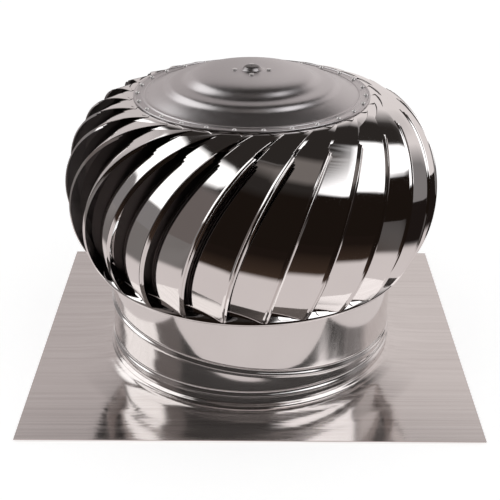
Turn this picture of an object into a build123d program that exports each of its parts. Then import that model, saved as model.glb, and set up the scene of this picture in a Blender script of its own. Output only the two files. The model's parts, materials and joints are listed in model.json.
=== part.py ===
from build123d import *
import os
from math import asin, atan2, cos, degrees, hypot, radians, sin

# Roof turbine ventilator: a flashing plate with a variable-pitch throat, a fixed shaft on a
# spider, and a rotor of bent vanes that turns on two sealed bearings. Millimetres, +Z up,
# origin at the middle of the plate's underside, rotor axis on Z.

# Flashing plate and its pressed flare
plate_width = 450.0
plate_depth = 400.0
plate_thickness = 1.0
flare_width = 42.0
flare_land = 2.0
flare_knee_width = 10.0
flare_knee_height = 3.2
flare_bead_depth = 3.2
flare_bead_height = 6.8
flare_top_height = 9.6

# Throat: three collars that turn in each other at two beaded seams
throat_radius = 150.0
throat_wall = 0.8
joint_gap = 0.1
seam_gap = 0.6
seam_bead_depth = 2.2
seam_bead_half = 2.8
seam_rim = 0.8
seam_foot = 0.4
seam_skirt = 1.2
lower_seam_height = 17.5
upper_seam_height = 44.0
seam_tilt = 6.0
head_straight_height = 76.0
throat_top_height = 116.0

# Fixed shaft and the spider that holds it
shaft_radius = 5.0
shaft_bottom_height = 80.0
shaft_end_gap = 2.3
spider_height = 96.0
spider_arms = 3
spider_arm_width = 22.0
spider_arm_thickness = 2.5
spider_hub_radius = 26.0
spider_tab_height = 14.0
spider_tab_rivet_height = 9.0
nut_width = 16.0
nut_height = 8.0
washer_radius = 10.5
washer_thickness = 2.0

# Sealed bearings and their stop collars
bearing_radius = 13.0
bearing_width = 8.0
inner_race_radius = 7.2
outer_race_bore = 10.8
shield_thickness = 0.8
shield_gap = 0.3
running_gap = 0.3
press_gap = 0.02
stop_collar_radius = 8.0
stop_collar_height = 8.0
housing_wall = 1.0
housing_flange_radius = 21.0
housing_flange_thickness = 1.5
housing_lip = 1.6
lower_bearing_drop = 4.0
rotor_spider_drop = 2.2
rotor_tab_height = 7.5
rotor_tab_rivet_radius = 1.7
rotor_tab_rivet_rise = 1.8

# Cap
cap_rim_margin = 4.5
cap_wall = 0.8
cap_ring_height = 280.5
cap_ring_width = 11.6
cap_bead_rise = 1.2
cap_bead_half = 1.3
cap_rim_half = 1.05
cap_dome_rise = 23.0
cap_steps = [(0.795, 5.0), (0.74, 7.2), (0.70, 11.4), (0.59, 13.2), (0.52, 19.4), (0.40, 22.0), (0.185, 23.0)]
cap_step_bend = 3.0
boss_radius = 8.6
boss_rise = 4.2

# Lower ring of the rotor
ring_overhang = 16.0
ring_bottom_height = 106.0
ring_drop = 3.2
ring_cone_width = 11.0
ring_lip = 6.0
ring_wall = 0.8

# Vanes: each is a flat strip bent round two tangent arcs. Its outer lip lies in a plane that
# leans from the vertical, and the sheet runs back from the lip under the next vane.
vane_count = 27
vane_thickness = 0.6
vane_width = 50.0
vane_bulge = 25.0
vane_belly_height = 170.0
vane_lower_bend = 122.0
vane_upper_bend = 105.0
vane_foot_angle = -38.0
vane_bend_joint = 31.0
vane_head_angle = 88.0
vane_yaw = 21.0
lip_lean = 17.5
sheet_rise = 7.0
first_vane_azimuth = -107.4
corner_cut_height = 97.0
corner_cut_slope = 20.0
notch_width = 6.0
notch_height = 98.0
head_rivet_side = -44.6
head_rivet_drop = 86.0
head_tab_outline = [(6.3, -2.1), (3.6, 5.2), (-5.9, 3.3), (-11.9, 4.9), (-17.3, -1.2), (-4.2, -6.7)]
foot_rivet_side = 31.2
foot_tab_width = 13.0
foot_tab_length = 12.0
seat_gap = 0.1
lip_bead_setback = 2.6
lip_bead_width = 2.4
lip_bead_rise = 0.5
lip_bead_end = 56.0

# Rivets
rivet_radius = 2.2
rivet_height = 1.2
hub_rivet_radius = 1.5
hub_rivet_head_radius = 2.5
hub_rivet_head = 1.2
hub_rivet_circle = 17.0
hub_rivet_count = 4
tab_rivet_radius = 2.0
tab_rivet_head_radius = 3.4
tab_rivet_head = 1.2

# Worked out from the sizes above
flare_radius = throat_radius + flare_width
flare_knee_radius = throat_radius + flare_knee_width
ring_radius = throat_radius + ring_overhang
vane_belly_radius = ring_radius + vane_bulge
head_rivet_depth = vane_belly_radius - head_rivet_drop
cap_rivet_circle = hypot(head_rivet_side, head_rivet_depth)
cap_radius = cap_rivet_circle + cap_rim_margin
cap_ring_inner_radius = cap_radius - cap_ring_width
head_tab_turn = degrees(atan2(-head_rivet_side, head_rivet_depth))
foot_tab_turn = -degrees(asin(foot_rivet_side / (ring_radius - ring_cone_width / 2)))
spider_rivet_height = spider_height + spider_tab_rivet_height
throat_bore = throat_radius - throat_wall
skirt_radius = throat_bore - seam_gap
cap_underside = cap_ring_height - cap_wall
dome_height = cap_ring_height + cap_dome_rise
dome_underside = dome_height - cap_wall
shaft_top_height = dome_underside + boss_rise - shaft_end_gap
ring_cone_height = ring_bottom_height + ring_drop
ring_neck_radius = ring_radius - ring_cone_width
ring_neck_height = ring_cone_height + ring_cone_width
ring_top_height = ring_neck_height + ring_lip
upper_bearing_height = dome_underside - bearing_width
rotor_spider_height = ring_top_height - rotor_spider_drop
lower_bearing_height = rotor_spider_height - lower_bearing_drop
rotor_tab_rivet_height = ring_neck_height + rotor_tab_rivet_rise
sheet_dir = Vector(
    cos(radians(sheet_rise)) * cos(radians(vane_yaw)),
    -cos(radians(sheet_rise)) * sin(radians(vane_yaw)),
    sin(radians(sheet_rise)),
)
lip_normal = Vector(
    cos(radians(lip_lean)) * cos(radians(vane_yaw)),
    -cos(radians(lip_lean)) * sin(radians(vane_yaw)),
    sin(radians(lip_lean)),
)
outward = Vector(sin(radians(vane_yaw)), cos(radians(vane_yaw)), 0)
belly = Vector(0, vane_belly_radius, vane_belly_height)
tilted = Plane.XY.offset(upper_seam_height).rotated((0, seam_tilt, 0))


def turned(points):
    """Solid of revolution about Z from (radius, height) points."""
    return revolve(make_face(Plane.XZ * Polyline(*points, close=True)), Axis.Z)


def spun_path(path, wall):
    """Sheet of one wall thickness, spun about Z; the path follows its outer face upwards."""
    return revolve(make_face(Plane.XZ * path.offset_2d(wall, kind=Kind.INTERSECTION, side=Side.LEFT)), Axis.Z)


def spun(points, wall):
    """Spun sheet whose outer face runs straight from point to point."""
    return spun_path(Polyline(*points), wall)


def tube(outer, inner, height, bottom=0.0):
    """Plain ring about Z, standing on the given height."""
    section = Circle(outer) - Circle(inner)
    return extrude(Plane.XY.offset(bottom) * section, height)


def around(shape, count, first=0.0):
    """Copies of a shape at even turns about Z."""
    return [Rot(0, 0, first + k * 360 / count) * shape for k in range(count)]


def seam_bead(radius):
    """Outer face of one rolled bead, from its lower to its upper edge."""
    crown = radius + seam_bead_depth
    shoulder = radius + 0.8 * seam_bead_depth
    return [
        (radius, -seam_bead_half),
        (shoulder, -0.4 * seam_bead_half),
        (crown, 0),
        (shoulder, 0.4 * seam_bead_half),
        (radius, seam_bead_half),
    ]


def seam_socket(radius):
    """Outer face of a collar's upper end: a bead that takes the next collar, then the rim."""
    return [
        (radius, -seam_bead_half - seam_foot),
        *seam_bead(radius),
        (radius, seam_bead_half + seam_rim),
    ]


def seam_plug(radius, outer_radius):
    """Outer face of a collar's lower end: it nests in the socket, then steps out above its rim."""
    step = outer_radius - radius
    rim_top = seam_bead_half + seam_rim + seam_gap
    return [
        (radius, -seam_bead_half - seam_skirt),
        *seam_bead(radius),
        (radius, rim_top),
        (outer_radius, rim_top + step),
        (outer_radius, rim_top + step + seam_foot),
    ]


def raised(points, height):
    return [(r, z + height) for r, z in points]


plug_top = seam_plug(skirt_radius, throat_radius)[-1][1]


def flashing_plate():
    """Roof plate with a shallow flare that turns up round the throat's foot."""
    lip_radius = throat_radius + joint_gap + plate_thickness
    flare = spun(
        [
            (flare_radius + flare_land, plate_thickness),
            (flare_radius, plate_thickness),
            (flare_knee_radius, flare_knee_height),
            (lip_radius + flare_bead_depth - 1, flare_bead_height - 2),
            (lip_radius + flare_bead_depth, flare_bead_height),
            (lip_radius, flare_bead_height + 1.6),
            (lip_radius, flare_top_height),
        ],
        plate_thickness,
    )
    sheet = Rectangle(plate_width, plate_depth) - Circle(flare_radius + flare_land)
    return extrude(sheet, plate_thickness) + flare


def base_collar():
    foot = plate_thickness + flare_knee_height
    points = [(throat_radius, foot)] + raised(seam_socket(throat_radius), lower_seam_height)
    return spun(points, throat_wall)


def throat_skin(bottom, top):
    """Sheet wall lofted between two round ends, each given by its plane."""
    outer = loft([bottom * Circle(throat_radius), top * Circle(throat_radius)], ruled=True)
    inner = loft([bottom * Circle(throat_bore), top * Circle(throat_bore)], ruled=True)
    return outer - inner


def wedge_collar():
    """Middle collar: level seam below, leaning seam above."""
    plug = spun(raised(seam_plug(skirt_radius, throat_radius), lower_seam_height), throat_wall)
    socket = tilted * spun(seam_socket(throat_radius), throat_wall)
    skin = throat_skin(Plane.XY.offset(lower_seam_height + plug_top), tilted.offset(-seam_bead_half - seam_foot))
    return plug + skin + socket


def head_collar():
    """Top collar: leaning seam below, plain round throat above."""
    plug = tilted * spun(seam_plug(skirt_radius, throat_radius), throat_wall)
    skin = throat_skin(tilted.offset(plug_top), Plane.XY.offset(head_straight_height))
    neck = tube(throat_radius, throat_bore, throat_top_height - head_straight_height, head_straight_height)
    for azimuth in spider_rivet_azimuths():
        neck -= radial_pin(tab_rivet_radius + joint_gap, 20, throat_bore - 10, spider_rivet_height, azimuth)
    return plug + skin + neck


def arms(count, width, thickness, hub_radius, reach, height, first):
    """Flat star: a hub disc with straight arms cut to the given reach."""
    star = Circle(hub_radius)
    for turn in range(count):
        star += Rot(0, 0, first + turn * 360 / count) * (Pos(reach / 2, 0) * Rectangle(reach, width))
    return extrude(Plane.XY.offset(height) * (star & Circle(reach)), thickness)


def wall_tabs(count, width, thickness, reach, bottom, height, first):
    """Upright tabs that follow a round wall from inside, one at the end of each arm."""
    band = tube(reach, reach - thickness, height, bottom)
    strip = Pos(reach, 0, bottom + height / 2) * Box(reach, width, height)
    return [band & cutter for cutter in around(strip, count, first)]


def radial_pin(radius, length, start, height, azimuth):
    """Round bar that points away from Z."""
    return Rot(0, 0, azimuth) * Pos(start, 0, height) * Rot(0, 90, 0) * Cylinder(
        radius, length, align=(Align.CENTER, Align.CENTER, Align.MIN)
    )


def throat_spider():
    """Three flat arms from a hub plate to upturned tabs that follow the throat's wall."""
    reach = throat_bore - joint_gap
    body = arms(spider_arms, spider_arm_width, spider_arm_thickness, spider_hub_radius, reach, spider_height, 90)
    for tab in wall_tabs(
        spider_arms, spider_arm_width, spider_arm_thickness, reach, spider_height, spider_tab_height, 90
    ):
        body += tab
    body -= Pos(0, 0, spider_height) * Cylinder(shaft_radius + joint_gap, 20)
    for azimuth in spider_rivet_azimuths():
        body -= radial_pin(tab_rivet_radius + joint_gap, 20, reach - 10, spider_rivet_height, azimuth)
    return body


def spider_rivet_azimuths():
    """Two rivets side by side through each tab."""
    spread = 5.5 * 57.3 / throat_bore
    return [90 + k * 360 / spider_arms + side * spread for k in range(spider_arms) for side in (-1, 1)]


def spider_rivets():
    """Pan-head rivets through the throat's wall and the spider's tabs."""
    bars = []
    for azimuth in spider_rivet_azimuths():
        shank_start = throat_bore - spider_arm_thickness - joint_gap - 0.6
        shank = radial_pin(
            tab_rivet_radius, throat_radius + joint_gap - shank_start, shank_start, spider_rivet_height, azimuth
        )
        head = radial_pin(
            tab_rivet_head_radius, tab_rivet_head, throat_radius + joint_gap, spider_rivet_height, azimuth
        )
        bars.append(shank + head)
    return Compound(children=bars)


def shaft():
    return Pos(0, 0, shaft_bottom_height) * Cylinder(
        shaft_radius,
        shaft_top_height - shaft_bottom_height,
        align=(Align.CENTER, Align.CENTER, Align.MIN),
    )


def nut(bottom):
    hexagon = RegularPolygon(nut_width / 2, 6, major_radius=False) - Circle(shaft_radius + press_gap)
    return extrude(Plane.XY.offset(bottom) * hexagon, nut_height)


def shaft_nuts():
    """One nut under the spider's hub and one on top, each behind its washer."""
    low = spider_height - washer_thickness - nut_height
    high = spider_height + spider_arm_thickness + washer_thickness
    return Compound(children=[nut(low), nut(high)])


def shaft_washers():
    low = spider_height - washer_thickness
    high = spider_height + spider_arm_thickness
    bore = shaft_radius + joint_gap
    return Compound(children=[tube(washer_radius, bore, washer_thickness, z) for z in (low, high)])


def stop_collar(race_height):
    """Set collar on the shaft, just under a bearing's inner race."""
    return tube(stop_collar_radius, shaft_radius + press_gap, stop_collar_height, race_height - stop_collar_height)


def inner_race(height):
    return tube(inner_race_radius, shaft_radius + press_gap, bearing_width, height)


def outer_race(height):
    """Outer race with the two shields that close the bearing."""
    race = tube(bearing_radius, outer_race_bore, bearing_width, height)
    shield = tube(outer_race_bore + 0.5, inner_race_radius + shield_gap, shield_thickness, height)
    return race + shield + Pos(0, 0, bearing_width - shield_thickness) * shield


def bearing_cup(height, flange_height):
    """Pressed cup round a bearing, with a lip under the race and a flange at its mouth."""
    bore = bearing_radius + press_gap
    outer = bore + housing_wall
    lip_bottom = height - housing_wall
    return turned(
        [
            (bore - housing_lip, lip_bottom),
            (outer, lip_bottom),
            (outer, flange_height),
            (housing_flange_radius, flange_height),
            (housing_flange_radius, flange_height + housing_flange_thickness),
            (bore, flange_height + housing_flange_thickness),
            (bore, height),
            (bore - housing_lip, height),
        ]
    )


def flange_pins(radius, bottom, length):
    """Upright bars on the bearing flange's rivet circle."""
    bar = Pos(hub_rivet_circle, 0, bottom) * Cylinder(radius, length, align=(Align.CENTER, Align.CENTER, Align.MIN))
    return around(bar, hub_rivet_count)


def flange_rivets(bottom, top):
    """Rivets through a sheet and a bearing flange, headed on top and set underneath."""
    rivets = []
    for shank, head, set_end in zip(
        flange_pins(hub_rivet_radius, bottom, top - bottom),
        flange_pins(hub_rivet_head_radius, top, hub_rivet_head),
        flange_pins(hub_rivet_radius + 0.5, bottom - 0.8, 0.8),
    ):
        rivets.append(shank + head + set_end)
    return Compound(children=rivets)


def top_cap():
    """Spun dome with two rolled steps, a flat riveted ring between beads and a turned-down rim."""
    ring = cap_ring_height
    rim = [
        (cap_radius, ring),
        (cap_radius - cap_rim_half, ring + cap_bead_rise),
        (cap_radius - 2 * cap_rim_half, ring),
        (cap_ring_inner_radius + 2 * cap_bead_half, ring),
        (cap_ring_inner_radius + cap_bead_half, ring + cap_bead_rise),
        (cap_ring_inner_radius, ring + 0.3),
    ]
    steps = [(share * cap_radius, ring + rise) for share, rise in cap_steps]
    boss = [(boss_radius + 1.6, dome_height), (boss_radius - 1.6, dome_height + boss_rise), (0, dome_height + boss_rise)]
    dome = FilletPolyline(rim[-1], *steps, boss[0], radius=cap_step_bend)
    cap = spun_path(Polyline(*rim) + dome + Polyline(*boss), cap_wall)
    for hole in flange_pins(hub_rivet_radius + joint_gap, dome_height - 5, 10):
        cap -= hole
    return cap


def cap_rivets():
    head = Pos(cap_rivet_circle, 0, cap_ring_height) * Cylinder(
        rivet_radius, rivet_height, align=(Align.CENTER, Align.CENTER, Align.MIN)
    )
    return Compound(children=around(head, vane_count, first_vane_azimuth + head_tab_turn))


def upper_bearing_cup():
    cup = bearing_cup(upper_bearing_height, dome_underside - housing_flange_thickness)
    for hole in flange_pins(hub_rivet_radius + joint_gap, dome_underside - 5, 10):
        cup -= hole
    return cup


def lower_bearing_cup():
    cup = bearing_cup(lower_bearing_height, rotor_spider_height - housing_flange_thickness)
    for hole in flange_pins(hub_rivet_radius + joint_gap, rotor_spider_height - 5, 10):
        cup -= hole
    return cup


def rotor_spider():
    """Three flat arms that carry the lower bearing across the rotor's ring."""
    reach = ring_neck_radius - ring_wall - joint_gap
    body = arms(spider_arms, spider_arm_width, spider_arm_thickness, spider_hub_radius, reach, rotor_spider_height, 30)
    for tab in wall_tabs(
        spider_arms,
        spider_arm_width,
        spider_arm_thickness,
        reach,
        ring_top_height - rotor_tab_height,
        rotor_tab_height,
        30,
    ):
        body += tab
    body -= Pos(0, 0, rotor_spider_height) * Cylinder(bearing_radius + press_gap, 20)
    for hole in flange_pins(hub_rivet_radius + joint_gap, rotor_spider_height - 5, 20):
        body -= hole
    return body


def rotor_spider_rivets():
    """One rivet through each tab of the rotor's spider and the ring's lip."""
    wall = ring_neck_radius - ring_wall - joint_gap - spider_arm_thickness
    start = wall - hub_rivet_head - joint_gap
    bars = [
        radial_pin(rotor_tab_rivet_radius, hub_rivet_head, start, rotor_tab_rivet_height, 30 + k * 120)
        for k in range(spider_arms)
    ]
    return Compound(children=bars)


def lower_ring():
    """Ring under the vanes: turned-down rim, cone for the vane feet and an upright lip inside."""
    return spun(
        [
            (ring_radius, ring_bottom_height),
            (ring_radius, ring_cone_height),
            (ring_neck_radius, ring_neck_height),
            (ring_neck_radius, ring_top_height),
        ],
        ring_wall,
    )


def vane_section(rise, wall, head_angle):
    """Side view of the bent strip, drawn in the lip's plane with the belly at the origin."""
    joint = radians(vane_bend_joint)
    upper_centre = (
        -vane_lower_bend + (vane_lower_bend - vane_upper_bend) * cos(joint),
        (vane_lower_bend - vane_upper_bend) * sin(joint),
    )
    faces = []
    for centre, bend, start, end in (
        ((-vane_lower_bend, 0), vane_lower_bend, vane_foot_angle, vane_bend_joint),
        (upper_centre, vane_upper_bend, vane_bend_joint, head_angle),
    ):
        outer = CenterArc(centre, bend + rise, start, end - start)
        inner = CenterArc(centre, bend + rise - wall, start, end - start)
        faces.append(make_face([outer, Line(outer @ 0, inner @ 0), inner, Line(outer @ 1, inner @ 1)]))
    return faces[0] + faces[1]


def blank_cut(points):
    """Straight cut through the sheet, drawn on the flat strip: along the sheet, then up it."""
    flat = Plane(origin=belly, x_dir=sheet_dir, z_dir=-outward)
    slant = -sin(radians(lip_lean - sheet_rise))
    drawn = [(x + slant * y, cos(radians(lip_lean - sheet_rise)) * y) for x, y in points]
    return extrude(flat * make_face(Polyline(*drawn, close=True)), 150, both=True)


def foot_plane(lift):
    """Plane that touches the ring's cone where the vane's foot tab is riveted."""
    turn = radians(90 + foot_tab_turn)
    middle = ring_radius - ring_cone_width / 2
    height = ring_cone_height + ring_cone_width / 2
    normal = Vector(cos(turn), sin(turn), 1).normalized()
    origin = Vector(middle * cos(turn), middle * sin(turn), height) + normal * lift
    return Plane(origin=origin, x_dir=Vector(-sin(turn), cos(turn), 0), z_dir=normal)


def vane():
    """One vane with its belly straight over +Y."""
    lip_plane = Plane(origin=belly, x_dir=outward, z_dir=lip_normal)
    sheet = extrude(lip_plane * vane_section(0, vane_thickness, vane_head_angle), vane_width, dir=sheet_dir)
    strip = lip_plane * vane_section(lip_bead_rise, vane_thickness, lip_bead_end)
    bead = Pos(sheet_dir * lip_bead_setback) * extrude(strip, lip_bead_width, dir=sheet_dir)
    sheet += bead
    top = vane_head_angle + vane_upper_bend
    corner_top = corner_cut_height + corner_cut_slope
    sheet -= blank_cut([(vane_width, corner_cut_height), (0, corner_top), (0, top), (2 * vane_width, top)])
    notch_top = notch_height + notch_width
    sheet -= blank_cut(
        [(-vane_width, notch_height), (0, notch_height), (notch_width, notch_top), (notch_width, top), (-vane_width, top)]
    )
    seat = cap_underside - seat_gap
    room = 2 * vane_belly_radius
    above = Pos(0, 0, seat) * Box(room, room, room, align=(Align.CENTER, Align.CENTER, Align.MIN))
    below = foot_plane(seat_gap) * Box(room, vane_width, vane_width, align=(Align.CENTER, Align.CENTER, Align.MAX))
    sheet = sheet - above - below
    tongue = [(head_rivet_side + x, head_rivet_depth + y) for x, y in head_tab_outline]
    head_tab = extrude(Plane.XY.offset(seat) * make_face(Polyline(*tongue, close=True)), -vane_thickness)
    foot_tab = foot_plane(seat_gap) * Box(
        foot_tab_width, foot_tab_length, vane_thickness, align=(Align.CENTER, Align.CENTER, Align.MIN)
    )
    return sheet + head_tab + foot_tab


def ring_rivets():
    """Rivets that hold each vane's foot tab to the ring's cone."""
    head = foot_plane(seat_gap + vane_thickness + joint_gap) * Cylinder(
        rivet_radius, rivet_height, align=(Align.CENTER, Align.CENTER, Align.MIN)
    )
    return Compound(children=around(head, vane_count, first_vane_azimuth - 90))


parts = {
    "flashing_plate": flashing_plate(),
    "base_collar": base_collar(),
    "wedge_collar": wedge_collar(),
    "head_collar": head_collar(),
    "throat_spider": throat_spider(),
    "spider_rivets": spider_rivets(),
    "centre_shaft": shaft(),
    "shaft_nuts": shaft_nuts(),
    "shaft_washers": shaft_washers(),
    "upper_stop_collar": stop_collar(upper_bearing_height),
    "lower_stop_collar": stop_collar(lower_bearing_height),
    "upper_inner_race": inner_race(upper_bearing_height),
    "lower_inner_race": inner_race(lower_bearing_height),
    "upper_outer_race": outer_race(upper_bearing_height),
    "lower_outer_race": outer_race(lower_bearing_height),
    "upper_bearing_cup": upper_bearing_cup(),
    "lower_bearing_cup": lower_bearing_cup(),
    "cap_hub_rivets": flange_rivets(dome_underside - housing_flange_thickness, dome_height),
    "spider_hub_rivets": flange_rivets(
        rotor_spider_height - housing_flange_thickness, rotor_spider_height + spider_arm_thickness
    ),
    "top_cap": top_cap(),
    "cap_rivets": cap_rivets(),
    "rotor_spider": rotor_spider(),
    "rotor_spider_rivets": rotor_spider_rivets(),
    "lower_ring": lower_ring(),
    "ring_rivets": ring_rivets(),
}
for number, blade in enumerate(around(vane(), vane_count, first_vane_azimuth - 90), start=1):
    parts[f"vane_{number:02d}"] = blade

os.makedirs("parts", exist_ok=True)
for name, shape in parts.items():
    export_step(shape, f"parts/{name}.step")
    print(name, shape.is_valid, len(shape.solids()), round(shape.volume))
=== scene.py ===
import json
import math

import bmesh
import bpy
from mathutils import Matrix, Vector


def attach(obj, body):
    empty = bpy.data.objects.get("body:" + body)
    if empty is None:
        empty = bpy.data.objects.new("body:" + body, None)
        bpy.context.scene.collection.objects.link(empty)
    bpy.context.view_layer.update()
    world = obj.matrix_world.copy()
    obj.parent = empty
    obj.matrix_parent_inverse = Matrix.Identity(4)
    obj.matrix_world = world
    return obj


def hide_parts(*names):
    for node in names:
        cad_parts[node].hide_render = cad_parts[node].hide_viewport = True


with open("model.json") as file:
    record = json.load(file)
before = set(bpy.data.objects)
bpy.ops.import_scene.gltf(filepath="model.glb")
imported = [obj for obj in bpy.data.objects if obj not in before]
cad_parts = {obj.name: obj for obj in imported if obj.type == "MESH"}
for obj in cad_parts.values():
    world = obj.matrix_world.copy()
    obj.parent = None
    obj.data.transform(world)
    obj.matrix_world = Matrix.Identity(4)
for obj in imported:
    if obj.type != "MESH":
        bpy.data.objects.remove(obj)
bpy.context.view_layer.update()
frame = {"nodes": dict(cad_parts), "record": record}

nodes = frame["nodes"]
print("frame loaded,", len(nodes), "nodes")

mm = 0.001
sheetMake = {"smoothAngle": 40, "mergeGap": 0.02, "wall": 0.8, "steps": 128}


# small helpers

def deselectAll():
    if bpy.context.mode != "OBJECT":
        bpy.ops.object.mode_set(mode="OBJECT")
    bpy.ops.object.select_all(action="DESELECT")


def makeActive(obj):
    deselectAll()
    obj.select_set(True)
    bpy.context.view_layer.objects.active = obj


def editMesh(obj, kind="VERT"):
    makeActive(obj)
    bpy.ops.object.mode_set(mode="EDIT")
    bpy.ops.mesh.select_mode(type=kind)
    bpy.ops.mesh.select_all(action="DESELECT")


def pick(obj, test, what="verts"):
    # selects what passes the test, in edit mode
    mesh = bmesh.from_edit_mesh(obj.data)
    for part in getattr(mesh, what):
        part.select_set(bool(test(part)))
    mesh.select_flush_mode()
    bmesh.update_edit_mesh(obj.data)


def flipUnless(obj, measure):
    # recalculates the normals, and turns them all over where the measure over the faces is negative
    bpy.ops.mesh.normals_make_consistent(inside=False)
    if sum(measure(face) for face in bmesh.from_edit_mesh(obj.data).faces) < 0:
        bpy.ops.mesh.flip_normals()


def applyModifier(obj, kind, name, **settings):
    makeActive(obj)
    modifier = obj.modifiers.new(name, kind)
    for key, value in settings.items():
        setattr(modifier, key, value)
    bpy.ops.object.modifier_apply(modifier=name)


def smoothByAngle(obj, degrees):
    makeActive(obj)
    bpy.ops.object.shade_smooth_by_angle(angle=math.radians(degrees))


def giveWall(obj, smooth, wall):
    # rounds the drawn line, then gives the sheet its wall, away from the drawn side
    if smooth:
        applyModifier(obj, "SUBSURF", "Smooth", levels=smooth, render_levels=smooth)
    if wall:
        applyModifier(obj, "SOLIDIFY", "Wall", thickness=wall * mm, offset=-1.0)
    smoothByAngle(obj, sheetMake["smoothAngle"])


def bakePlace(obj):
    # moves the object's place and size into its mesh
    makeActive(obj)
    bpy.ops.object.transform_apply(location=True, rotation=True, scale=True)


def inSection(points):
    # (radius, height) points in mm as places above the X axis
    return [(radius * mm, 0, height * mm) for radius, height in points]


def drawLine(name, places):
    # a line of edges from place to place, left in edit mode
    deselectAll()
    bpy.ops.mesh.primitive_plane_add(size=2 * mm, location=(0, 0, 0))
    obj = bpy.context.object
    obj.name = name
    obj.data.name = name
    editMesh(obj)
    bpy.ops.mesh.select_all(action="SELECT")
    bpy.ops.mesh.merge(type="CENTER")
    bpy.ops.transform.translate(value=places[0])
    for near, far in zip(places, places[1:]):
        bpy.ops.mesh.extrude_region_move(TRANSFORM_OT_translate={"value": Vector(far) - Vector(near)})
    bpy.ops.mesh.select_all(action="SELECT")
    return obj


def spinProfile(name, points, steps=sheetMake["steps"], smooth=1, wall=sheetMake["wall"]):
    # spins a line of (radius, height) points about Z
    obj = drawLine(name, inSection(points))
    bpy.ops.mesh.spin(steps=steps, angle=math.tau, center=(0, 0, 0), axis=(0, 0, 1))
    bpy.ops.mesh.select_all(action="SELECT")
    bpy.ops.mesh.remove_doubles(threshold=sheetMake["mergeGap"] * mm)
    # the drawn side faces out or up
    leanUp = 0.12
    flipUnless(obj, lambda face: face.normal.dot(Vector((*face.calc_center_median().xy, leanUp))))
    bpy.ops.object.mode_set(mode="OBJECT")
    giveWall(obj, smooth, wall)
    return obj


def placedCopy(source, name, matrix):
    # a copy with its own mesh, placed in the mesh
    copied = source.copy()
    copied.data = source.data.copy()
    copied.name = name
    copied.data.name = name
    bpy.context.scene.collection.objects.link(copied)
    copied.data.transform(matrix)
    return copied


def joinPieces(name, pieces):
    deselectAll()
    for piece in pieces:
        piece.select_set(True)
    bpy.context.view_layer.objects.active = pieces[0]
    bpy.ops.object.join()
    pieces[0].name = name
    pieces[0].data.name = name
    return pieces[0]


def finishPiece(obj, body, slotName, material, *replaced):
    obj.data.materials.clear()
    obj.data.materials.append(material)
    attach(obj, body)
    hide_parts(*replaced)


# material maths

class Wave:
    # wraps one socket, so that sums on it add Math nodes
    def __init__(self, tree, socket):
        self.tree = tree
        self.socket = socket

    def maths(self, operation, *values):
        node = self.tree.nodes.new("ShaderNodeMath")
        node.operation = operation
        for place, value in enumerate(values):
            if isinstance(value, Wave):
                self.tree.links.new(value.socket, node.inputs[place])
            else:
                node.inputs[place].default_value = value
        return Wave(self.tree, node.outputs[0])

    def __add__(self, other):
        return self.maths("ADD", self, other)

    __radd__ = __add__

    def __mul__(self, other):
        return self.maths("MULTIPLY", self, other)

    __rmul__ = __mul__

    def __sub__(self, other):
        return self.maths("SUBTRACT", self, other)

    def __rsub__(self, other):
        return self.maths("SUBTRACT", other, self)

    def clamped(self):
        return self.maths("MINIMUM", self.maths("MAXIMUM", self, 0.0), 1.0)


class NodeMaker:
    # adds nodes to one tree
    def __init__(self, tree):
        self.tree = tree

    def add(self, kind, settings=None, *values, **sockets):
        # sockets that share a name are given in order
        node = self.tree.nodes.new(kind)
        for key, value in (settings or {}).items():
            setattr(node, key, value)
        for place, value in enumerate(values):
            self.feed(node, place, value)
        for key, value in sockets.items():
            self.feed(node, key.replace("_", " "), value)
        return node

    def feed(self, node, key, value):
        socket = node.inputs[key]
        if isinstance(value, Wave):
            self.tree.links.new(value.socket, socket)
        elif isinstance(value, bpy.types.NodeSocket):
            self.tree.links.new(value, socket)
        else:
            socket.default_value = value

    def wave(self, socket):
        return Wave(self.tree, socket)

    def seenRays(self):
        # 1 for what the camera, a mirror or glass sees
        rays = self.add("ShaderNodeLightPath")
        seen = self.wave(rays.outputs["Is Camera Ray"])
        for kind in ("Is Glossy Ray", "Is Transmission Ray"):
            seen = seen.maths("MAXIMUM", seen, self.wave(rays.outputs[kind]))
        return seen


class Finish(NodeMaker):
    # one node material with a principled shader at its end
    def __init__(self, name):
        self.material = bpy.data.materials.new(name)
        self.material.use_nodes = True
        super().__init__(self.material.node_tree)
        self.shader = self.tree.nodes["Principled BSDF"]

    def place(self, scale=(1, 1, 1)):
        where = self.add("ShaderNodeTexCoord").outputs["Object"]
        return self.add("ShaderNodeMapping", Vector=where, Scale=scale).outputs["Vector"]

    def grain(self, scale, size, detail=3.0, contrast=1.0):
        found = self.add("ShaderNodeTexNoise", Vector=self.place(scale), Scale=size, Detail=detail,
                         Roughness=steelMake["noiseRough"])
        return (contrast * (self.wave(found.outputs["Fac"]) - 0.5) + 0.5).clamped()

    def mix(self, amount, first, second):
        # each colour is (red, green, blue) or another node's output
        blend = self.add("ShaderNodeMix", {"data_type": "RGBA"})
        self.feed(blend, 0, amount)
        for place, colour in ((6, first), (7, second)):
            self.feed(blend, place, (*colour, 1) if isinstance(colour, tuple) else colour)
        return blend.outputs[2]

    def relief(self, height, strength, depth):
        bump = self.add("ShaderNodeBump", Height=height, Strength=strength, Distance=depth)
        self.feed(self.shader, "Normal", bump.outputs["Normal"])

    def set(self, **sockets):
        for key, value in sockets.items():
            self.feed(self.shader, key.replace("_", " "), value)


# finishes

steelTints = {
    "mirrorDark": (0.76, 0.73, 0.72), "mirrorLight": (0.84, 0.82, 0.81),
    "satinDark": (0.50, 0.475, 0.48), "satinLight": (0.60, 0.575, 0.58),
    "plateDark": (0.58, 0.54, 0.525), "plateLight": (0.74, 0.70, 0.685),
    # dark tone of the ring rivets, also the colour of the painted shade on the vanes' inner faces and over
    # the cap's axis
    "darkToneAndShade": (0.10, 0.09, 0.088),
    "innerDark": (0.42, 0.42, 0.43), "innerLight": (0.56, 0.56, 0.57),
}

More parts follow.
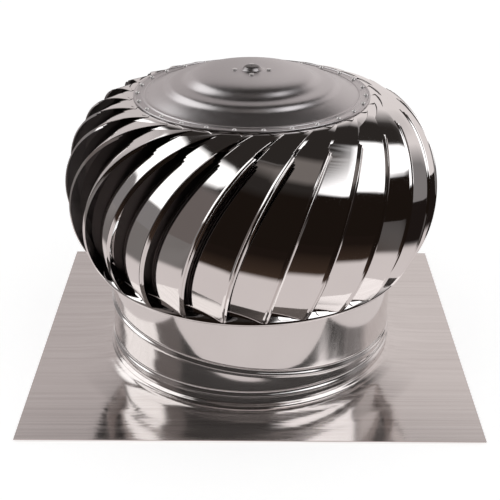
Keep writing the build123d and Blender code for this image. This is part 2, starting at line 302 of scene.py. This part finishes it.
# pattern sizes, and how far each pattern moves the roughness
steelMake = {
    "noiseRough": 0.55, "mottleSize": 14.0, "cloudSize": 9.0, "waveSize": 22.0, "waveStretch": (1, 1, 0.5),
    "mirrorSpread": 0.05, "innerSpread": 0.35, "lineRelief": 0.004, "waveDepth": 2.0,
    "cloudShare": 0.35, "satinBase": -0.06, "satinLines": 0.1, "satinCloud": 0.05,
    "satinRelief": 0.06, "satinDepth": 0.5, "facingSharpness": 8.0, "paintedAxisShadeFade": 1.6,
}


def facingIn(finish, middle):
    # 1 where the sheet's face looks in at the middle, 0 where it looks out; the vanes' painted gap shade
    # follows it
    where = finish.add("ShaderNodeTexCoord")
    away = finish.add("ShaderNodeVectorMath", {"operation": "SUBTRACT"}, where.outputs["Object"], middle)
    ray = finish.add("ShaderNodeVectorMath", {"operation": "NORMALIZE"}, away.outputs["Vector"])
    facing = finish.add("ShaderNodeVectorMath", {"operation": "DOT_PRODUCT"},
                        ray.outputs["Vector"], where.outputs["Normal"])
    return (-steelMake["facingSharpness"] * finish.wave(facing.outputs["Value"])).clamped()


# this mask carries the painted shade over the cap's axis
def nearAxis(finish, radius):
    # 1 over the axis, fading out round the radius
    flat = finish.add("ShaderNodeVectorMath", {"operation": "LENGTH"}, finish.place((1, 1, 0)))
    return (2.0 - (1.0 / radius) * finish.wave(flat.outputs["Value"]) * steelMake["paintedAxisShadeFade"]).clamped()


def mirrorSteel(name, roughness, ripple, metal=1.0, stretch=(1, 1, 0.06), lineSize=900.0, middle=None):
    finish = Finish(name)
    mottle = finish.grain((1, 1, 1), steelMake["mottleSize"])
    lines = finish.grain(stretch, lineSize, 2.0)
    colour = finish.mix(mottle, steelTints["mirrorDark"], steelTints["mirrorLight"])
    rough = roughness + steelMake["mirrorSpread"] * mottle * lines
    if middle:
        # painted shade: faces that look in at the middle are painted dark and made rougher, standing in for
        # the shade in the gaps between the vanes
        paintedGapShade = facingIn(finish, middle)
        colour = finish.mix(paintedGapShade, colour, steelTints["darkToneAndShade"])
        rough = rough + steelMake["innerSpread"] * paintedGapShade
    finish.set(Metallic=metal, Base_Color=colour, Roughness=rough)
    waves = finish.grain(steelMake["waveStretch"], steelMake["waveSize"], 1.0)
    finish.relief(waves + steelMake["lineRelief"] * lines, ripple, steelMake["waveDepth"] * mm)
    return finish.material


def satinSteel(name, dark, light, roughness, stretch, lineSize, metal=1.0, paintedAxisShade=0.0, contrast=1.0):
    finish = Finish(name)
    cloud = finish.grain((1, 1, 1), steelMake["cloudSize"])
    lines = finish.grain(stretch, lineSize, 3.0, contrast)
    share = steelMake["cloudShare"]
    colour = finish.mix(share * cloud + (1 - share) * lines, steelTints[dark], steelTints[light])
    if paintedAxisShade:
        # painted shade: the boss over the axis is painted dark, standing in for the shaded dimple at the
        # shaft's end
        colour = finish.mix(nearAxis(finish, paintedAxisShade), colour, steelTints["darkToneAndShade"])
    rough = roughness + steelMake["satinBase"] + steelMake["satinLines"] * lines
    finish.set(Metallic=metal, Base_Color=colour, Roughness=rough + steelMake["satinCloud"] * cloud)
    finish.relief(lines, steelMake["satinRelief"], steelMake["satinDepth"] * mm)
    return finish.material


mirrorVane = mirrorSteel("mirrorVane", roughness=0.04, ripple=0.03, middle=(0, 0, 0.17))
mirrorThroat = mirrorSteel("mirrorThroat", roughness=0.08, ripple=0.06, metal=0.92,
                           stretch=(0.03, 0.03, 1), lineSize=260.0)
mirrorRing = mirrorSteel("mirrorRing", roughness=0.08, ripple=0.08)
rivetBright = mirrorSteel("rivetBright", roughness=0.28, ripple=0.03, metal=0.6)
rivetPlain = satinSteel("rivetPlain", "darkToneAndShade", "innerLight", roughness=0.3, stretch=(1, 1, 1), lineSize=300.0)
satinCap = satinSteel("satinCap", "satinDark", "satinLight", roughness=0.29, stretch=(1, 1, 1),
                      lineSize=160.0, paintedAxisShade=9.5 * mm)
brushedPlate = satinSteel("brushedPlate", "plateDark", "plateLight", roughness=0.09, stretch=(0.012, 1, 1),
                          lineSize=220.0, metal=0.94, contrast=2.2)
innerSteel = satinSteel("innerSteel", "innerDark", "innerLight", roughness=0.36, stretch=(1, 1, 0.1),
                        lineSize=300.0, contrast=1.5)
bearingSteel = satinSteel("bearingSteel", "innerLight", "satinLight", roughness=0.2, stretch=(1, 1, 1),
                          lineSize=300.0)
print("finishes made")


# vanes

vaneMake = {
    "count": 27, "firstTurn": -107.4 - 90, "width": 50.0, "thickness": 0.6,
    "belly": (0.0, 191.0, 170.0), "lowerBend": 122.0, "upperBend": 105.0,
    "footAngle": -38.0, "bendJoint": 31.0, "headAngle": 88.0,
    "yaw": 21.0, "lipLean": 17.5, "rise": 7.0,
    "lowerSteps": 30, "upperSteps": 26,
    # distance from the lip and height of the stamped bead there
    "bead": [(0.0, -1.4), (0.7, -0.45), (1.3, 0.05), (1.9, -0.15), (2.5, -0.95), (3.1, -0.3), (3.9, 0.55),
             (4.7, 0.3), (5.6, -0.05)],
    # the flat part of the sheet behind it
    "flat": (7.0, 12.0, 20.0, 30.0, 40.0),
    "cornerCut": ((50.0, 97.0), (0.0, 117.0)), "notchSide": 6.0, "notchHeight": 98.0, "notchReach": 40.0,
    "seat": 279.6, "seatGap": 0.05, "ringMiddle": 160.5, "coneMiddle": 114.7, "coneGap": 0.15,
    # the tab on the ring's cone
    "footTurn": -11.2, "tabWidth": 13.0, "tabLength": 12.0, "tabLift": 0.7,
    # the tab's outer corners, as shares of its width and length, and how they are drawn in
    "tabCorner": (0.45, 0.4), "tabTaper": (0.72, 0.9, 1),
    # the tab under the cap's edge, round its rivet
    "headRivet": (-44.6, 105.0),
    "headTab": [(6.3, -2.1), (3.6, 5.2), (-5.9, 3.3), (-11.9, 4.9), (-17.3, -1.2), (-4.2, -6.7)],
    # the apron that closes the head against the cap's edge
    "apron": [(116.8, 279.4), (120.0, 279.2), (124.0, 278.5), (128.0, 277.0), (132.0, 275.0), (136.0, 272.6),
              (139.0, 270.4)],
    "apronTurn": 23.0, "apronSteps": 6, "smoothAngle": 32,
}


def unit(*parts):
    return Vector(parts).normalized()


def vaneDirections():
    yaw, rise, lean = (math.radians(vaneMake[key]) for key in ("yaw", "rise", "lipLean"))
    sheet = Vector((math.cos(rise) * math.cos(yaw), -math.cos(rise) * math.sin(yaw), math.sin(rise)))
    lip = Vector((math.cos(lean) * math.cos(yaw), -math.cos(lean) * math.sin(yaw), math.sin(lean)))
    outward = Vector((math.sin(yaw), math.cos(yaw), 0))
    return sheet, lip, outward


def conePoint():
    # where the vane's foot meets the ring's cone, and the cone's normal there
    turn = math.radians(90 + vaneMake["footTurn"])
    radius = vaneMake["ringMiddle"]
    place = Vector((radius * math.cos(turn), radius * math.sin(turn), vaneMake["coneMiddle"])) * mm
    return place, unit(math.cos(turn), math.sin(turn), 1), Vector((-math.sin(turn), math.cos(turn), 0))


def makeHeadTab():
    x, y = vaneMake["headRivet"]
    height = vaneMake["seat"] - vaneMake["seatGap"]
    tab = drawLine("headTab", [Vector((x + dx, y + dy, height)) * mm for dx, dy in vaneMake["headTab"]])
    bpy.ops.mesh.edge_face_add()
    flipUnless(tab, lambda face: face.normal.z)
    bpy.ops.object.mode_set(mode="OBJECT")
    return tab


def makeApron():
    share = math.tau / vaneMake["count"]
    apron = drawLine("apron", inSection(vaneMake["apron"]))
    bpy.ops.mesh.spin(steps=vaneMake["apronSteps"], angle=share, center=(0, 0, 0), axis=(0, 0, -1))
    bpy.ops.mesh.select_all(action="SELECT")
    flipUnless(apron, lambda face: face.normal.z)
    bpy.ops.object.mode_set(mode="OBJECT")
    start = math.radians(90 + vaneMake["apronTurn"]) - share / 2
    apron.data.transform(Matrix.Rotation(start, 4, "Z"))
    return apron


def makeFootTab():
    # flat on the ring's cone, narrower at its end
    v = vaneMake
    bpy.ops.mesh.primitive_grid_add(x_subdivisions=6, y_subdivisions=6, size=mm)
    tab = bpy.context.object
    tab.scale = (v["tabWidth"], v["tabLength"], 1)
    bakePlace(tab)
    editMesh(tab)
    side, end = v["tabCorner"][0] * v["tabWidth"] * mm, v["tabCorner"][1] * v["tabLength"] * mm
    pick(tab, lambda vert: abs(vert.co.x) > side and vert.co.y < -end)
    bpy.ops.transform.resize(value=v["tabTaper"])
    bpy.ops.object.mode_set(mode="OBJECT")
    place, coneNormal, along = conePoint()
    onCone = Matrix((along, coneNormal.cross(along), coneNormal)).transposed().to_4x4()
    onCone.translation = place + coneNormal * v["tabLift"] * mm
    tab.data.transform(onCone)
    return tab


def bendSheet():
    # two arcs round the belly, swept across on the slant
    v = vaneMake
    sheetDir, lipNormal, outward = vaneDirections()
    upLip = lipNormal.cross(outward)
    belly = Vector(v["belly"]) * mm

    def inLipPlane(x, y):
        return belly + (outward * x + upLip * y) * mm

    foot = math.radians(v["footAngle"])
    joint = math.radians(v["bendJoint"])
    shift = v["lowerBend"] - v["upperBend"]
    lowerCentre = inLipPlane(-v["lowerBend"], 0)
    upperCentre = inLipPlane(-v["lowerBend"] + shift * math.cos(joint), shift * math.sin(joint))
    start = inLipPlane(-v["lowerBend"] + v["lowerBend"] * math.cos(foot), v["lowerBend"] * math.sin(foot))
    sheet = drawLine("vane", [start])
    bpy.ops.mesh.spin(steps=v["lowerSteps"], angle=joint - foot, center=lowerCentre, axis=-lipNormal)
    bpy.ops.mesh.spin(steps=v["upperSteps"], angle=math.radians(v["headAngle"]) - joint,
                      center=upperCentre, axis=-lipNormal)
    bpy.ops.mesh.select_all(action="SELECT")
    across = [place for place, rise in v["bead"]] + [*v["flat"], v["width"]]
    for near, far in zip(across, across[1:]):
        bpy.ops.mesh.extrude_region_move(
            TRANSFORM_OT_translate={"value": sheetDir * (far - near) * mm})
    bpy.ops.mesh.select_all(action="SELECT")
    flipUnless(sheet, lambda face: face.normal.dot(outward))
    return sheet


def pressBead(sheet):
    # one column of the sheet at a time, from the lip inwards
    rowSize = vaneMake["lowerSteps"] + vaneMake["upperSteps"] + 1
    for column, (place, rise) in enumerate(vaneMake["bead"]):
        pick(sheet, lambda vert, c=column: vert.index // rowSize == c)
        bpy.ops.transform.shrink_fatten(value=rise * mm)


def trimSheet(sheet):
    # cuts the tucked corner, the lip's notch, the head and the foot
    v = vaneMake
    sheetDir, lipNormal, outward = vaneDirections()
    tilt = math.radians(v["lipLean"] - v["rise"])
    slant = -math.sin(tilt)
    upSheet = (-outward).cross(sheetDir)
    belly = Vector(v["belly"]) * mm

    def onBlank(x, y):
        return belly + (sheetDir * (x + slant * y) + upSheet * math.cos(tilt) * y) * mm

    def acrossLine(a, b, towards):
        # normal of the cut through two points of the blank
        normal = (a - b).cross(outward).normalized()
        return normal if normal.dot(towards) > 0 else -normal

    def cut(place, normal, clear):
        bpy.ops.mesh.select_all(action="SELECT")
        bpy.ops.mesh.bisect(plane_co=place, plane_no=normal, clear_outer=clear)

    cornerA, cornerB = (onBlank(*corner) for corner in v["cornerCut"])
    cut(cornerA, acrossLine(cornerA, cornerB, upSheet), True)
    notchA = onBlank(0, v["notchHeight"])
    notchB = onBlank(v["notchSide"], v["notchHeight"] + v["notchSide"])
    notchC = onBlank(v["notchSide"], v["notchHeight"] + v["notchReach"])
    slopeNormal = acrossLine(notchB, notchA, upSheet)
    sideNormal = acrossLine(notchC, notchB, -sheetDir)
    cut(notchA, slopeNormal, False)
    cut(notchB, sideNormal, False)
    pick(sheet, lambda face: (face.calc_center_median() - notchA).dot(slopeNormal) > 0
         and (face.calc_center_median() - notchB).dot(sideNormal) > 0, "faces")
    bpy.ops.mesh.delete(type="FACE")
    cut((0, 0, (v["seat"] - v["seatGap"]) * mm), (0, 0, 1), True)
    place, coneNormal, along = conePoint()
    cut(place + coneNormal * v["coneGap"] * mm, -coneNormal, True)
    bpy.ops.object.mode_set(mode="OBJECT")


def makeVane():
    sheet = bendSheet()
    pressBead(sheet)
    trimSheet(sheet)
    vane = joinPieces("vane", [sheet, makeFootTab(), makeHeadTab(), makeApron()])
    applyModifier(vane, "SOLIDIFY", "Sheet", thickness=vaneMake["thickness"] * mm, offset=-1.0)
    smoothByAngle(vane, vaneMake["smoothAngle"])
    return vane


vaneMaster = makeVane()
vaneStep = 360 / vaneMake["count"]
for number in range(vaneMake["count"]):
    turn = math.radians(vaneMake["firstTurn"] + number * vaneStep)
    bladeSheet = placedCopy(vaneMaster, f"bladeSheet{number + 1:02d}", Matrix.Rotation(turn, 4, "Z"))
    finishPiece(bladeSheet, "rotor", "vane_sheet", mirrorVane, f"vane_{number + 1:02d}")
bpy.data.objects.remove(vaneMaster)
print("vanes made,", vaneMake["count"])


# cap

capMake = {
    "ring": 280.5, "wall": 0.8, "steps": 96,
    # (radius, height above the ring), from the edge up to the boss
    "profile": [
        (118.6, -0.7), (118.6, 0.0), (118.3, 0.8), (117.5, 1.2), (116.8, 0.9), (116.4, 0.15), (115.9, 0.0),
        (113.0, 0.0), (110.4, 0.0), (109.8, 0.1), (109.2, 0.8), (108.3, 1.2), (107.4, 0.9), (106.8, 0.4),
        (104.5, 1.2), (99.5, 3.3), (94.0, 5.4), (90.0, 6.6), (87.6, 7.5), (85.5, 9.3), (83.4, 11.0),
        (81.0, 11.9), (76.0, 12.6), (71.0, 13.0), (67.0, 14.1), (63.6, 16.4), (60.6, 18.8), (56.0, 20.3),
        (49.0, 21.6), (40.0, 22.4), (30.0, 22.9), (20.0, 23.0), (12.5, 23.05), (10.2, 23.5), (9.0, 24.8),
        (8.3, 26.2), (7.0, 27.0), (5.0, 27.25), (2.5, 27.3), (0.6, 27.3),
    ],
}
capLine = [(radius, height + capMake["ring"]) for radius, height in capMake["profile"]]
capSheet = spinProfile("capSheet", capLine, steps=capMake["steps"], wall=capMake["wall"])
finishPiece(capSheet, "rotor", "cap_sheet", satinCap, "top_cap")
print("cap made")


# rivet heads

rivetMake = {
    "capRadius": 2.5, "capHeight": 2.1, "capCircle": 114.1, "capTurn": 23.0,
    "ringRadius": 2.1, "ringHeight": 1.3, "ringLift": 0.8,
    "segments": 16, "rings": 10, "smoothAngle": 50,
}


def domeHead(name, radius, height):
    deselectAll()
    bpy.ops.mesh.primitive_uv_sphere_add(segments=rivetMake["segments"], ring_count=rivetMake["rings"],
                                         radius=radius * mm)
    obj = bpy.context.object
    obj.name = name
    editMesh(obj)
    bpy.ops.mesh.select_all(action="SELECT")
    bpy.ops.mesh.bisect(plane_co=(0, 0, 0), plane_no=(0, 0, -1), clear_outer=True, use_fill=True)
    bpy.ops.mesh.select_all(action="SELECT")
    bpy.ops.transform.resize(value=(1, 1, height / radius), center_override=(0, 0, 0))
    bpy.ops.object.mode_set(mode="OBJECT")
    smoothByAngle(obj, rivetMake["smoothAngle"])
    return obj


def headCircle(name, master, turn, radius, height, slope, lift):
    # one head for each vane, on a circle whose surface leans out by the slope
    heads = []
    for number in range(vaneMake["count"]):
        angle = math.radians(vaneMake["firstTurn"] + 90 + number * vaneStep + turn)
        normal = unit(slope * math.cos(angle), slope * math.sin(angle), 1)
        placed = Vector((0, 0, 1)).rotation_difference(normal).to_matrix().to_4x4()
        placed.translation = (Vector((radius * math.cos(angle), radius * math.sin(angle), height)) * mm
                              + normal * lift * mm)
        heads.append(placedCopy(master, name, placed))
    bpy.data.objects.remove(master)
    return joinPieces(name, heads)


capRivetHeads = headCircle(
    "capRivetHeads", domeHead("capHead", rivetMake["capRadius"], rivetMake["capHeight"]),
    rivetMake["capTurn"], rivetMake["capCircle"], capMake["ring"], slope=0, lift=0)
finishPiece(capRivetHeads, "rotor", "rivet_metal", rivetBright, "cap_rivets")
ringRivetHeads = headCircle(
    "ringRivetHeads", domeHead("ringHead", rivetMake["ringRadius"], rivetMake["ringHeight"]),
    vaneMake["footTurn"], vaneMake["ringMiddle"], vaneMake["coneMiddle"], slope=1, lift=rivetMake["ringLift"])
finishPiece(ringRivetHeads, "rotor", "rivet_metal", rivetPlain, "ring_rivets")
print("rivet heads made")


# lower ring

ringMake = {
    # (radius, height), from the rolled edge up the cone to the neck
    "profile": [
        (165.7, 106.0), (166.1, 106.5), (166.1, 107.6), (165.9, 108.6), (165.2, 109.6), (164.0, 110.9),
        (161.0, 113.9), (158.0, 116.9), (155.9, 119.1), (155.1, 120.3), (155.0, 121.8), (155.0, 124.2),
        (155.0, 126.1),
    ],
}
ringSheet = spinProfile("ringSheet", ringMake["profile"])
finishPiece(ringSheet, "rotor", "ring_sheet", mirrorRing, "lower_ring")


# throat collars

throatMake = {
    "radius": 150.0, "skirt": 148.6, "wall": 0.8, "lowerSeam": 17.5, "upperSeam": 44.0, "tilt": 6.0,
    "beadDepth": 2.2, "beadHalf": 2.8, "beadEnd": 0.5, "rim": 0.8,
    # a bead's section, as shares of its depth and its half height
    "beadShape": [(0.12, -1.0), (0.55, -0.62), (0.92, -0.28), (1.0, 0.0), (0.92, 0.28), (0.55, 0.62),
                  (0.12, 1.0)],
    # heights above a seam: the skirt that sits in its bead, and the step out to the wall
    "skirtFoot": 3.0, "skirtTop": 4.2, "stepMiddle": 4.9, "stepInset": 0.3, "stepTop": 5.6, "wallFoot": 6.6,
    # heights along the walls, the wedge's one below the upper seam
    "baseHeights": (4.3, 8.0, 12.5), "wedgeBelow": 6.0, "headHeights": (76.0, 90.0, 116.0),
    # the heights between which a collar leans with the upper seam
    "leanFrom": 30.0, "leanTo": 60.0,
}


def beadAt(seam):
    t = throatMake
    line = [(t["radius"], seam - t["beadHalf"] - t["beadEnd"])]
    line += [(t["radius"] + t["beadDepth"] * out, seam + t["beadHalf"] * up) for out, up in t["beadShape"]]
    return line + [(t["radius"], seam + t["beadHalf"] + t["rim"])]


def skirtAt(seam):
    t = throatMake
    return [(t["skirt"], seam + t["skirtFoot"]), (t["skirt"], seam + t["skirtTop"]),
            (t["radius"] - t["stepInset"], seam + t["stepMiddle"]),
            (t["radius"], seam + t["stepTop"]), (t["radius"], seam + t["wallFoot"])]


def leanSeam(collar):
    # tips the points round the upper seam about its middle, so that its left side stands higher;
    # with no window the rotate operator turns the other way
    low, high = throatMake["leanFrom"] * mm, throatMake["leanTo"] * mm
    editMesh(collar)
    pick(collar, lambda vert: low < vert.co.z < high)
    bpy.ops.transform.rotate(value=math.radians(-throatMake["tilt"]), orient_axis="Y",
                             center_override=(0, 0, throatMake["upperSeam"] * mm))
    bpy.ops.object.mode_set(mode="OBJECT")


def leaningCollar(name, line):
    collar = spinProfile(name, line, smooth=0, wall=0)
    leanSeam(collar)
    giveWall(collar, 1, throatMake["wall"])
    return collar


t = throatMake
baseLine = [(t["radius"], height) for height in t["baseHeights"]] + beadAt(t["lowerSeam"])
baseSheet = spinProfile("baseSheet", baseLine, wall=t["wall"])
finishPiece(baseSheet, "base", "throat_sheet", mirrorThroat, "base_collar")

wedgeLine = skirtAt(t["lowerSeam"])
wedgeLine += [(t["radius"], t["upperSeam"] - t["wedgeBelow"])] + beadAt(t["upperSeam"])
wedgeSheet = leaningCollar("wedgeSheet", wedgeLine)
finishPiece(wedgeSheet, "wedge", "throat_sheet", mirrorThroat, "wedge_collar")

headLine = skirtAt(t["upperSeam"]) + [(t["radius"], height) for height in t["headHeights"]]
headSheet = leaningCollar("headSheet", headLine)
finishPiece(headSheet, "head", "throat_sheet", mirrorThroat, "head_collar")
print("ring and collars made")


# flashing plate

plateMake = {
    "width": 450.0, "depth": 400.0, "thickness": 1.0, "steps": 128, "edgeReach": 0.1, "smoothAngle": 30,
    # (radius, height) of the pressed flare, from the collar's foot out to the flat
    "flare": [
        (151.1, 9.6), (151.1, 8.9), (151.6, 8.4), (153.2, 7.9), (154.2, 7.0), (154.0, 6.0), (153.6, 5.2),
        (154.6, 4.6), (157.6, 4.1), (160.0, 3.6), (162.0, 2.95), (168.0, 2.45), (176.0, 2.0), (185.0, 1.5),
        (192.0, 1.12), (196.0, 1.0), (198.5, 1.0),
    ],
}


def makePlate():
    # a square outline of edges, bridged to the flare
    p = plateMake
    deselectAll()
    bpy.ops.mesh.primitive_plane_add(size=mm, location=(0, 0, p["thickness"] * mm))
    outline = bpy.context.object
    outline.scale = (p["width"], p["depth"], 1)
    bakePlace(outline)
    editMesh(outline, "EDGE")
    bpy.ops.mesh.select_all(action="SELECT")
    bpy.ops.mesh.delete(type="ONLY_FACE")
    bpy.ops.mesh.select_all(action="SELECT")
    bpy.ops.mesh.subdivide(number_cuts=p["steps"] // 4 - 1)
    bpy.ops.object.mode_set(mode="OBJECT")
    flare = spinProfile("plateSheet", p["flare"], steps=p["steps"], smooth=0, wall=0)
    plate = joinPieces("plateSheet", [flare, outline])
    editMesh(plate, "EDGE")
    flareEdge = p["flare"][-1][0] * mm
    pick(plate, lambda edge: not edge.link_faces
         or edge.is_boundary and abs(edge.verts[0].co.xy.length - flareEdge) < p["edgeReach"] * mm, "edges")
    bpy.ops.mesh.bridge_edge_loops()
    bpy.ops.mesh.select_all(action="SELECT")
    flipUnless(plate, lambda face: face.normal.z * face.calc_area())
    bpy.ops.object.mode_set(mode="OBJECT")
    applyModifier(plate, "SOLIDIFY", "Sheet", thickness=p["thickness"] * mm, offset=-1.0)
    smoothByAngle(plate, p["smoothAngle"])
    return plate


finishPiece(makePlate(), "base", "plate_sheet", brushedPlate, "flashing_plate")
print("plate made")


# carried-over nodes

carriedFinishes = {
    "bearing_steel": bearingSteel, "rivet_metal": rivetBright, "vane_sheet": mirrorVane,
    "throat_sheet": mirrorThroat, "plate_sheet": brushedPlate,
}
slotNames = {part["node"]: part["material_slot"] for part in frame["record"]["subparts"]}
for nodeName, node in nodes.items():
    for place in node.material_slots:
        place.material = carriedFinishes.get(slotNames[nodeName], innerSteel)


# floor, room and lamps

roomMake = {
    "radius": 3.0, "segments": 180, "rings": 90, "wall": (0.235, 0.222, 0.222),
    # azimuth from, to, elevation from, to, soft edge in degrees, tone
    "patches": [
        (-180, 180, 42, 95, 10, (0.028, 0.024, 0.022)),
        (-150, -10, -30, 52, 8, (0.012, 0.008, 0.006)),
        (-176, -148, -30, 44, 8, (0.16, 0.138, 0.132)),
        (14, 92, -20, 40, 12, (0.84, 0.79, 0.78)),
        (92, 136, -20, 40, 12, (0.64, 0.595, 0.59)),
    ],
    # panels overhead: x from, to, y from, to, soft edge, as shares of their height
    "panels": [
        (-0.28, 0.28, -0.50, -0.04, 0.12, (0.19, 0.17, 0.16)),
        (0.31, 1.55, -0.98, 0.22, 0.06, (1.7, 1.7, 1.72)),
        (-3.4, -0.47, -0.22, 1.1, 0.07, (1.6, 1.6, 1.6)),
    ],
    # the lowest share of its distance at which a place lies under the panels
    "panelFoot": 0.05,
}

floorMake = {
    "size": 12.0, "drop": 2.0, "paper": (0.9, 0.9, 0.9, 1), "roughness": 0.9, "glow": 0.55,
    "flagSize": 6.0, "flagDrop": 1.5, "flagSteps": 300,
    # what steel mirrors of the floor: close round the object, then by the side
    "near": (0.72, 0.66, 0.65), "nearSide": 0.40, "nearFront": -0.43, "nearBack": 0.45, "nearEdge": 0.05,
    "back": (0.36, 0.34, 0.335), "left": (0.20, 0.185, 0.18), "right": (0.014, 0.010, 0.009),
    "front": (0.014, 0.009, 0.007), "frontNear": (0.060, 0.038, 0.027), "frontFade": (0.45, 1.15),
    # azimuth from, to
    "sides": {"front": (-150, -30), "right": (-30, 35), "left": (150, 210)}, "sideEdge": 14,
}


def clamp(value, low=0, high=1):
    return min(max(value, low), high)


def softInside(value, low, high, edge):
    return clamp((value - low) / edge + 0.5) * clamp((high - value) / edge + 0.5)


def softAzimuth(azimuth, low, high, edge):
    return max(softInside(azimuth + turn, low, high, edge) for turn in (-360, 0, 360))


def roomTone(place):
    azimuth = math.degrees(math.atan2(place.y, place.x))
    elevation = math.degrees(math.asin(clamp(place.z / place.length, -1)))
    tone = Vector(roomMake["wall"])
    for left, right, low, high, edge, patch in roomMake["patches"]:
        amount = softAzimuth(azimuth, left, right, edge) * softInside(elevation, low, high, edge)
        tone = tone.lerp(Vector(patch), amount)
    if place.z > roomMake["panelFoot"] * place.length:
        x, y = place.x / place.z, place.y / place.z
        for left, right, front, back, edge, panel in roomMake["panels"]:
            amount = softInside(x, left, right, edge) * softInside(y, front, back, edge)
            tone = tone.lerp(Vector(panel), amount)
    return tone


def floorTone(place):
    f = floorMake
    azimuth = math.degrees(math.atan2(place.y, place.x))
    nearest, farthest = f["frontFade"]
    fade = clamp((place.to_2d().length - nearest) / (farthest - nearest))
    tones = {side: Vector(f[side]) for side in f["sides"]}
    tones["front"] = Vector(f["frontNear"]).lerp(tones["front"], math.sqrt(fade))
    tone = Vector(f["back"])
    for side, (low, high) in f["sides"].items():
        tone = tone.lerp(tones[side], softAzimuth(azimuth, low, high, f["sideEdge"]))
    near = (softInside(place.x, -f["nearSide"], f["nearSide"], f["nearEdge"])
            * softInside(place.y, f["nearFront"], f["nearBack"], f["nearEdge"]))
    return tone.lerp(Vector(f["near"]), near)


def onlyMirrored(obj, toneAt):
    # paints the object by place, for what glossy rays alone see
    layer = obj.data.color_attributes.new("tone", "FLOAT_COLOR", "POINT")
    for vert in obj.data.vertices:
        layer.data[vert.index].color = (*toneAt(vert.co), 1)
    finish = Finish(obj.name + "Tone")
    finish.tree.nodes.remove(finish.shader)
    tone = finish.add("ShaderNodeAttribute", {"attribute_name": "tone"})
    light = finish.add("ShaderNodeEmission", Color=tone.outputs["Color"], Strength=1.0)
    finish.feed(finish.tree.nodes["Material Output"], "Surface", light.outputs["Emission"])
    obj.data.materials.append(finish.material)
    for kind in ("camera", "diffuse", "shadow", "transmission", "volume_scatter"):
        setattr(obj, "visible_" + kind, False)


deselectAll()
bpy.ops.mesh.primitive_uv_sphere_add(segments=roomMake["segments"], ring_count=roomMake["rings"],
                                     radius=roomMake["radius"])
room = bpy.context.object
room.name = "studioRoom"
onlyMirrored(room, roomTone)

deselectAll()
bpy.ops.mesh.primitive_grid_add(x_subdivisions=floorMake["flagSteps"], y_subdivisions=floorMake["flagSteps"],
                                size=floorMake["flagSize"], location=(0, 0, -floorMake["flagDrop"] * mm))
floorFlag = bpy.context.object
floorFlag.name = "floorFlag"
bakePlace(floorFlag)
onlyMirrored(floorFlag, floorTone)

deselectAll()
bpy.ops.mesh.primitive_plane_add(size=floorMake["size"], location=(0, 0, -floorMake["drop"] * mm))
floor = bpy.context.object
floor.name = "floor"
floorPaper = Finish("floorPaper")
# the paper is white to the camera, mirrors and glass, and lights nothing
paperGlow = floorPaper.mix(floorPaper.seenRays(), (0, 0, 0), (1, 1, 1))
floorPaper.set(Base_Color=floorMake["paper"], Roughness=floorMake["roughness"], Specular_IOR_Level=0.0,
               Emission_Color=paperGlow, Emission_Strength=floorMake["glow"])
floor.data.materials.append(floorPaper.material)

worldMake = {"colour": (1, 1, 1, 1), "light": 0.5}
world = bpy.data.worlds.new("studioWorld")
bpy.context.scene.world = world
world.use_nodes = True
sky = NodeMaker(world.node_tree)
background = world.node_tree.nodes["Background"]
sky.feed(background, "Color", worldMake["colour"])
sky.feed(background, "Strength", worldMake["light"] + (1 - worldMake["light"]) * sky.seenRays())

lampMake = {
    "keyLamp": {"place": (1.6, -1.8, 2.4), "size": 1.6, "power": 6},
    "fillLamp": {"place": (-2.0, -1.4, 2.0), "size": 1.8, "power": 4},
}
lampTarget = Vector((0, 0, 0.1))
for lampName, made in lampMake.items():
    lamp = bpy.data.lights.new(lampName, "AREA")
    lamp.size = made["size"]
    lamp.energy = made["power"]
    lampObject = bpy.data.objects.new(lampName, lamp)
    lampObject.location = made["place"]
    lampObject.rotation_euler = (lampTarget - Vector(made["place"])).to_track_quat("-Z", "Y").to_euler()
    lampObject.visible_glossy = False
    bpy.context.scene.collection.objects.link(lampObject)
print("stage made")


# camera

cameraMake = {
    "place": (0.0007, -1.0041, 0.6028), "pitch": 26.43, "yaw": 0.097, "roll": 0.26,
    "lens": 74.88, "sensor": 36,
}
camera = bpy.data.objects.new("camera", bpy.data.cameras.new("camera"))
bpy.context.scene.collection.objects.link(camera)
camera.data.lens = cameraMake["lens"]
camera.data.sensor_width = cameraMake["sensor"]
camera.location = cameraMake["place"]
turned = (Matrix.Rotation(math.radians(cameraMake["yaw"]), 4, "Z")
          @ Matrix.Rotation(math.radians(90 - cameraMake["pitch"]), 4, "X")
          @ Matrix.Rotation(math.radians(cameraMake["roll"]), 4, "Z"))
camera.rotation_euler = turned.to_euler()
bpy.context.scene.camera = camera
bpy.context.scene.view_settings.view_transform = "Standard"
